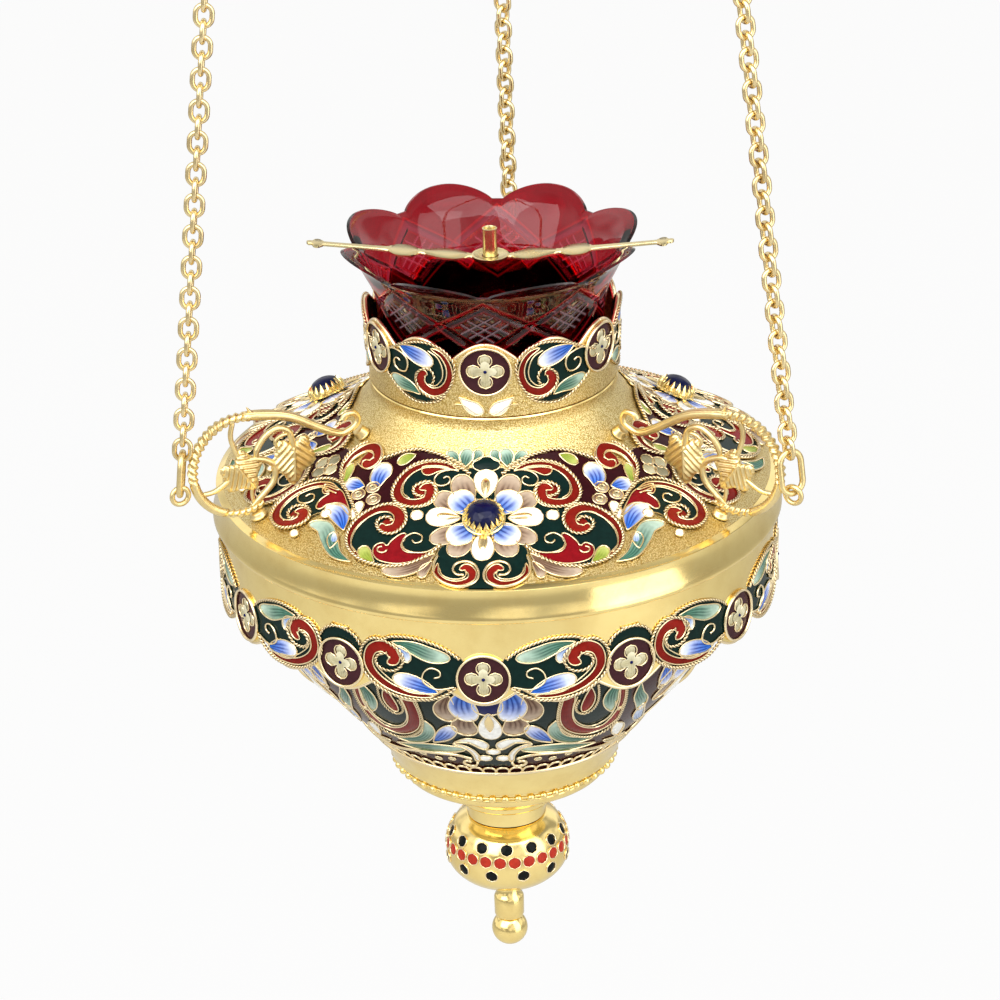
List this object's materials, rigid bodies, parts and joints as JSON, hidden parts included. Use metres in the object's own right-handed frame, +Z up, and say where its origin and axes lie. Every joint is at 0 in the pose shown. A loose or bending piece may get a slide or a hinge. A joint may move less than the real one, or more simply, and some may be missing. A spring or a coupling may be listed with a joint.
{
  "type": "vigil lamp",
  "caption": "Hanging oil lamp with a lobed glass cup in an enamelled gilt body, held by chains from a crown with a swivel and a ring.",
  "frame": {"origin": "inside top of the hanging ring's bore, where the hook carries the lamp", "axes": "+Z up; +X to the right and +Y away, as seen from the front, where one shoulder panel and one cabochon face -Y"},
  "size_m": [0.1871, 0.1947, 0.4128],
  "materials": {
    "polished_gilt": "polished gilding on silver",
    "stippled_gilt": "gilding with a fine stippled ground and a polished band",
    "dotted_gilt": "polished gilding set with red and black enamel dots",
    "filigree_enamel": "glossy vitreous enamel between gilt wires, in dark green, red-brown, blue-white and cream",
    "enamelled_gallery": "gilt sheet with enamelled medallions and scroll plates",
    "pale_brass": "pale polished brass",
    "steel": "plain steel",
    "blue_stone": "polished dark blue cabochon",
    "ruby_glass": "ruby glass with cut diamonds"
  },
  "bodies": {
    "hanging_ring": {"hanging_ring": "polished_gilt"},
    "swivel": {"swivel_bow": "polished_gilt", "swivel_nut": "polished_gilt"},
    "lamp": {"crown_boss": "polished_gilt", "handle_1": "polished_gilt", "lower_foot_1": "polished_gilt", "upper_foot_1": "polished_gilt", "handle_eye_1": "polished_gilt", "crown_arm_1": "polished_gilt", "large_link_1": "polished_gilt", "chain_1": "polished_gilt", "top_ring_1": "polished_gilt", "shoulder_panel_1": "filigree_enamel", "bezel_1": "polished_gilt", "cabochon_1": "blue_stone", "handle_2": "polished_gilt", "lower_foot_2": "polished_gilt", "upper_foot_2": "polished_gilt", "handle_eye_2": "polished_gilt", "crown_arm_2": "polished_gilt", "large_link_2": "polished_gilt", "chain_2": "polished_gilt", "top_ring_2": "polished_gilt", "shoulder_panel_2": "filigree_enamel", "bezel_2": "polished_gilt", "cabochon_2": "blue_stone", "handle_3": "polished_gilt", "lower_foot_3": "polished_gilt", "upper_foot_3": "polished_gilt", "handle_eye_3": "polished_gilt", "crown_arm_3": "polished_gilt", "large_link_3": "polished_gilt", "chain_3": "polished_gilt", "top_ring_3": "polished_gilt", "shoulder_panel_3": "filigree_enamel", "bezel_3": "polished_gilt", "cabochon_3": "blue_stone", "shoulder_shell": "stippled_gilt", "collar_gallery": "enamelled_gallery", "glass_seat": "polished_gilt", "garland_band": "enamelled_gallery", "bowl_shell": "polished_gilt", "bowl_enamel": "filigree_enamel", "base_moulding": "polished_gilt", "bead_ring": "polished_gilt", "polished_neck": "polished_gilt", "knop": "dotted_gilt", "spacer": "polished_gilt", "ball_finial": "polished_gilt", "tie_rod": "steel", "rod_washer": "steel", "rod_nut": "steel"},
    "glass": {"glass_cup": "ruby_glass"},
    "float": {"float_strip": "pale_brass", "wick_tube": "pale_brass"}
  },
  "joints": [
    {"name": "lamp_swing", "type": "hinge", "parent": "hanging_ring", "child": "swivel", "pos_m": [0, 0, -0.0278], "axis": [1, 0, 0], "range_deg": [-30, 30]},
    {"name": "lamp_spin", "type": "hinge", "parent": "swivel", "child": "lamp", "pos_m": [0, 0, -0.045], "axis": [0, 0, 1], "continuous": true},
    {"name": "glass_lift", "type": "slide", "parent": "lamp", "child": "glass", "axis": [0, 0, 1], "range_m": [0, 0.06]},
    {"name": "float_lift", "type": "slide", "parent": "glass", "child": "float", "axis": [0, 0, 1], "range_m": [0, 0.03]}
  ]
}
